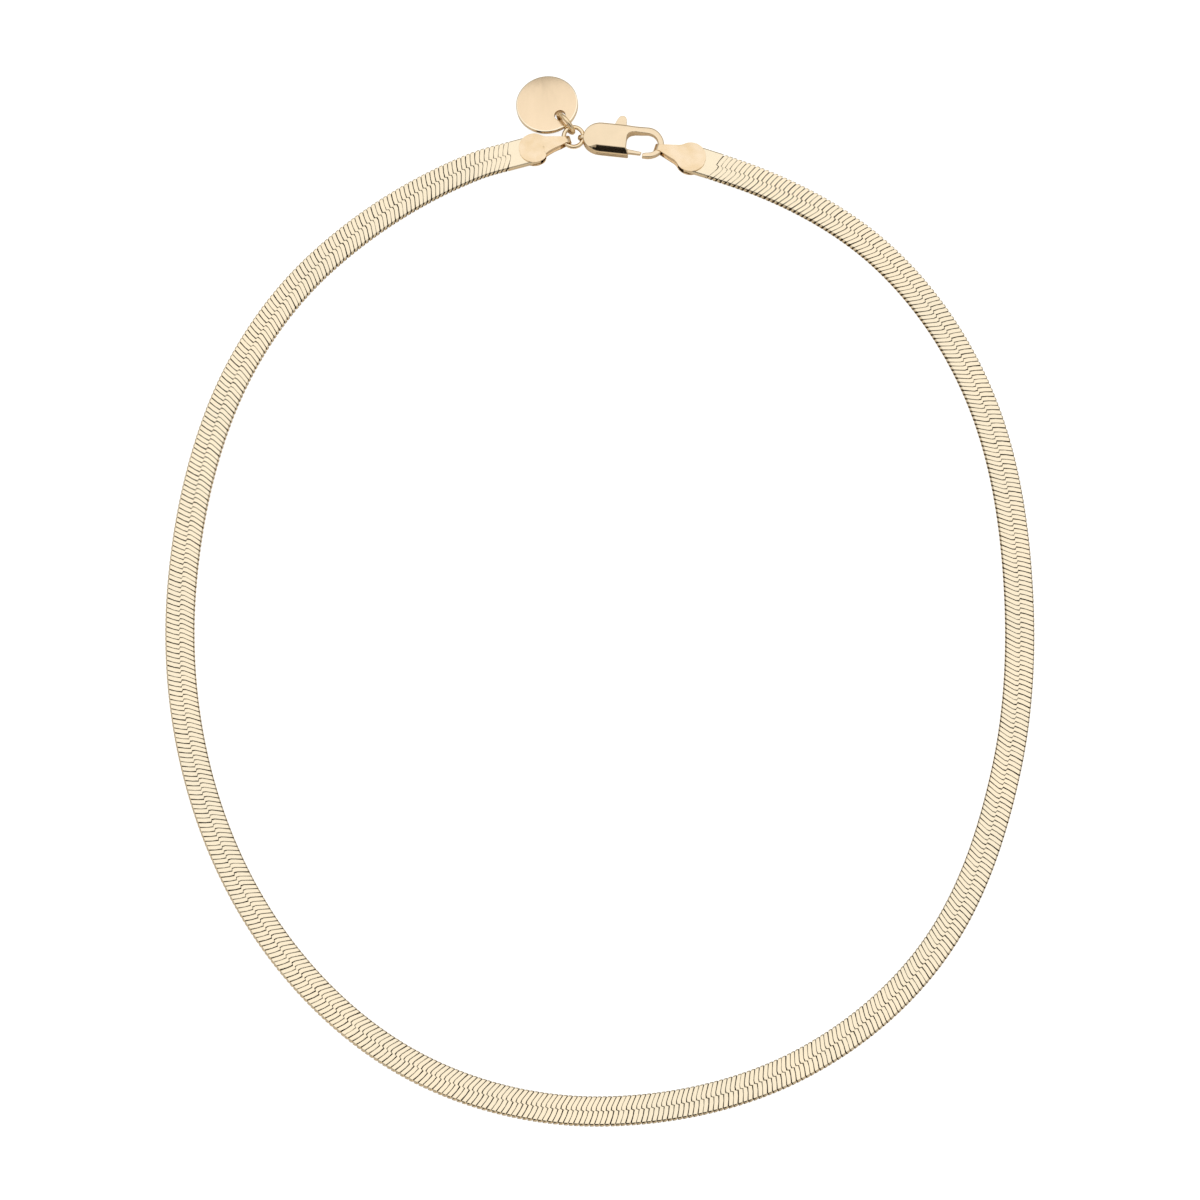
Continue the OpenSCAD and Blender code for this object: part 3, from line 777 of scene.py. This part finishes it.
bpy.ops.object.select_all(action="DESELECT")
bpy.ops.mesh.primitive_cylinder_add(vertices=40, radius=eye_r + eye_rim, depth=eye_t,
                                    rotation=(math.pi / 2, 0, 0), location=(0, 0, 0))
eye = bpy.context.object
bpy.ops.object.transform_apply(rotation=True)
apply_modifier(eye, "BEVEL", width=eye_edge, segments=2, limit_method="ANGLE",
               angle_limit=math.radians(50))
join_to(body, [claw, web, eye])

# What is cut out of the casting: the claw's opening, the eye's hole and the lever's cavity
lever_pivot = Vector((5.2, -1.45))
lever_t = 0.6
gate_open = 25
slot_t = 0.72
hub_room = 0.3
nub_x = 4.95
nub_turn = math.degrees(math.atan2(clasp_w / 2 - lever_pivot.y, nub_x - lever_pivot.x))
bpy.ops.object.select_all(action="DESELECT")
bpy.ops.mesh.primitive_plane_add(size=1, location=(0.5, 0.5, 0))
cutter = bpy.context.object
bpy.ops.object.transform_apply(location=True)
bpy.ops.object.mode_set(mode="EDIT")
bpy.ops.mesh.select_all(action="SELECT")
bpy.ops.transform.resize(value=(opening_end - opening_start, opening_high - opening_low, 1),
                         center_override=(0, 0, 0))
bpy.ops.transform.translate(value=(opening_start, opening_low, -clasp_t))
pick("VERT", lambda v: v.co.x < opening_start + 0.1 and v.co.y > 0)
bpy.ops.mesh.bevel(offset=opening_round, segments=9, affect="VERTICES")
pick("VERT", lambda v: v.co.x < opening_start + 0.1 and v.co.y < opening_low + 0.1)
bpy.ops.mesh.bevel(offset=opening_foot, segments=4, affect="VERTICES")
bpy.ops.mesh.select_all(action="SELECT")
bpy.ops.mesh.extrude_region_move(TRANSFORM_OT_translate={"value": (0, 0, 2 * clasp_t)})
close_up()
bpy.ops.object.select_all(action="DESELECT")
bpy.ops.mesh.primitive_cylinder_add(vertices=40, radius=eye_r, depth=2 * clasp_w,
                                    rotation=(math.pi / 2, 0, 0), location=(0, 0, 0))
cuts = [bpy.context.object]
bpy.ops.object.select_all(action="DESELECT")
bpy.ops.mesh.primitive_cylinder_add(vertices=40, radius=hub_room, depth=slot_t,
                                    location=(*lever_pivot, 0))
cuts.append(bpy.context.object)
# The cavity is fans of arms, so that the lever has room to turn. Each arm: its direction while the
# lever is shut, where it starts, its length, and its two sides.
arms = [(0, 0, 1.8, -0.26, 0.62), (nub_turn, 0, 2.6, -0.6, 0.6), (nub_turn, 2.3, 3.8, -0.9, 0.9)]
for shut_turn, begin, length, low, high in arms:
    for share in (0, 0.2, 0.4, 0.6, 0.8, 1):
        bpy.ops.object.select_all(action="DESELECT")
        bpy.ops.mesh.primitive_cube_add(size=1, location=(0.5, 0.5, 0))
        arm = bpy.context.object
        bpy.ops.object.transform_apply(location=True)
        arm.scale = (length, high - low, slot_t)
        bpy.ops.object.transform_apply(scale=True)
        arm.location = (begin, low, 0)
        bpy.ops.object.transform_apply(location=True)
        arm.rotation_euler.z = math.radians(shut_turn + share * gate_open)
        arm.location = (*lever_pivot, 0)
        cuts.append(arm)
join_to(cutter, cuts)
# Remeshed at this fineness, the forms melt into one casting
grain_size = 0.06
apply_modifier(cutter, "REMESH", mode="VOXEL", voxel_size=grain_size)
apply_modifier(body, "REMESH", mode="VOXEL", voxel_size=grain_size)
apply_modifier(body, "BOOLEAN", operation="DIFFERENCE", object=cutter, solver="EXACT")
bpy.data.objects.remove(cutter)
apply_modifier(body, "REMESH", mode="VOXEL", voxel_size=grain_size)
apply_modifier(body, "SMOOTH", factor=0.5, iterations=8)
# The lever's slot shows in the near side as two fine lines
line_size = (4.6, 0.5, 0.12)
line_x, line_y = 4.3, near_edge - 0.12
for line_z in (-0.42, 0.06):
    bpy.ops.object.select_all(action="DESELECT")
    bpy.ops.mesh.primitive_cube_add(size=1, location=(0, 0, 0))
    line = bpy.context.object
    line.scale = line_size
    line.location = (line_x, line_y, line_z)
    bpy.ops.object.transform_apply(location=True, scale=True)
    apply_modifier(body, "BOOLEAN", operation="DIFFERENCE", object=line, solver="EXACT")
    bpy.data.objects.remove(line)
set_down(body, at=(*clasp_at, clasp_t / 2), turn=(0, 0, clasp_turn), smooth_to=50)
body.data.materials.append(clasp_gold)
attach(body, "necklace")
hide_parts("clasp_body")

# Pin: a short turned pin with broken edges, pressed into the cavity's two walls, on which the lever
# turns. The body hides it.
pin_r = 0.15
pin_l = 0.9
pin_edge = 0.04
bpy.ops.object.select_all(action="DESELECT")
bpy.ops.mesh.primitive_cylinder_add(vertices=32, radius=pin_r, depth=pin_l, location=(*lever_pivot, 0))
pin = bpy.context.object
pin.name = "clasp_pin_turned"
bpy.ops.object.transform_apply(location=True)
apply_modifier(pin, "BEVEL", width=pin_edge, segments=2, limit_method="ANGLE",
               angle_limit=math.radians(50))
set_down(pin, at=(*clasp_at, clasp_t / 2), turn=(0, 0, clasp_turn))
pin.data.materials.append(clasp_gold)
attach(pin, "necklace")
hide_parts("clasp_pin")

# Lever: cast and polished like the body. The gate that closes the claw, a hub on the pin, and an arm
# through the body that ends in the thumb nub.
gate_end = 8.32
gate_y = -1.28
gate_w = 0.76
gate_round = 0.16
# The gate's tip: how far it falls back, its share of the full width, and the slant of its end
tip_fall = 0.17
tip_share = 0.62
tip_slant = 0.12
hub_r = 0.24
lever_grain = 0.8 * grain_size
lever = upright_section("clasp_lever_cast", lever_pivot.x, gate_y, gate_w, lever_t, gate_round,
                        gate_round, 3)
draw_out([((lever_pivot.x, gate_y, 0), (1, 1, 1)),
          ((gate_end, gate_y - tip_fall, 0), (1, tip_share, 1))])
pick("VERT", lambda v: v.co.x > gate_end - 0.01 and v.co.y < gate_y - tip_fall)
bpy.ops.transform.translate(value=(-tip_slant, 0, 0))
close_up()
bpy.ops.object.select_all(action="DESELECT")
bpy.ops.mesh.primitive_cylinder_add(vertices=40, radius=hub_r, depth=lever_t, location=(*lever_pivot, 0))
hub = bpy.context.object
# The arm and the nub from above: how far out, how far along and how wide
nub_rungs = [(lever_pivot.y, 5.2, 0.8), (1.9, 4.98, 1.5), (2.35, 4.99, 1.7), (2.8, 5.04, 1.54),
             (3.2, 5.1, 1.34), (3.5, 5.14, 1.12), (3.72, 5.16, 0.8), (3.84, 5.17, 0.4)]
bpy.ops.object.select_all(action="DESELECT")
bpy.ops.mesh.primitive_plane_add(size=1, rotation=(math.pi / 2, 0, 0), location=(0, 0, 0))
nub = bpy.context.object
bpy.ops.object.transform_apply(rotation=True)
bpy.ops.object.mode_set(mode="EDIT")
bpy.ops.mesh.select_all(action="SELECT")
nub_stations = [((x, y, 0), (width, 1, lever_t)) for y, x, width in nub_rungs]
bpy.ops.transform.resize(value=nub_stations[0][1], center_override=(0, 0, 0))
bpy.ops.transform.translate(value=nub_stations[0][0])
draw_out(nub_stations)
close_up()
join_to(lever, [hub, nub])
apply_modifier(lever, "REMESH", mode="VOXEL", voxel_size=lever_grain)
apply_modifier(lever, "SMOOTH", factor=0.5, iterations=8)
set_down(lever, at=(*clasp_at, clasp_t / 2), turn=(0, 0, clasp_turn), smooth_to=180)
lever.data.materials.append(clasp_gold)
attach(lever, "lever")
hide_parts("clasp_lever")
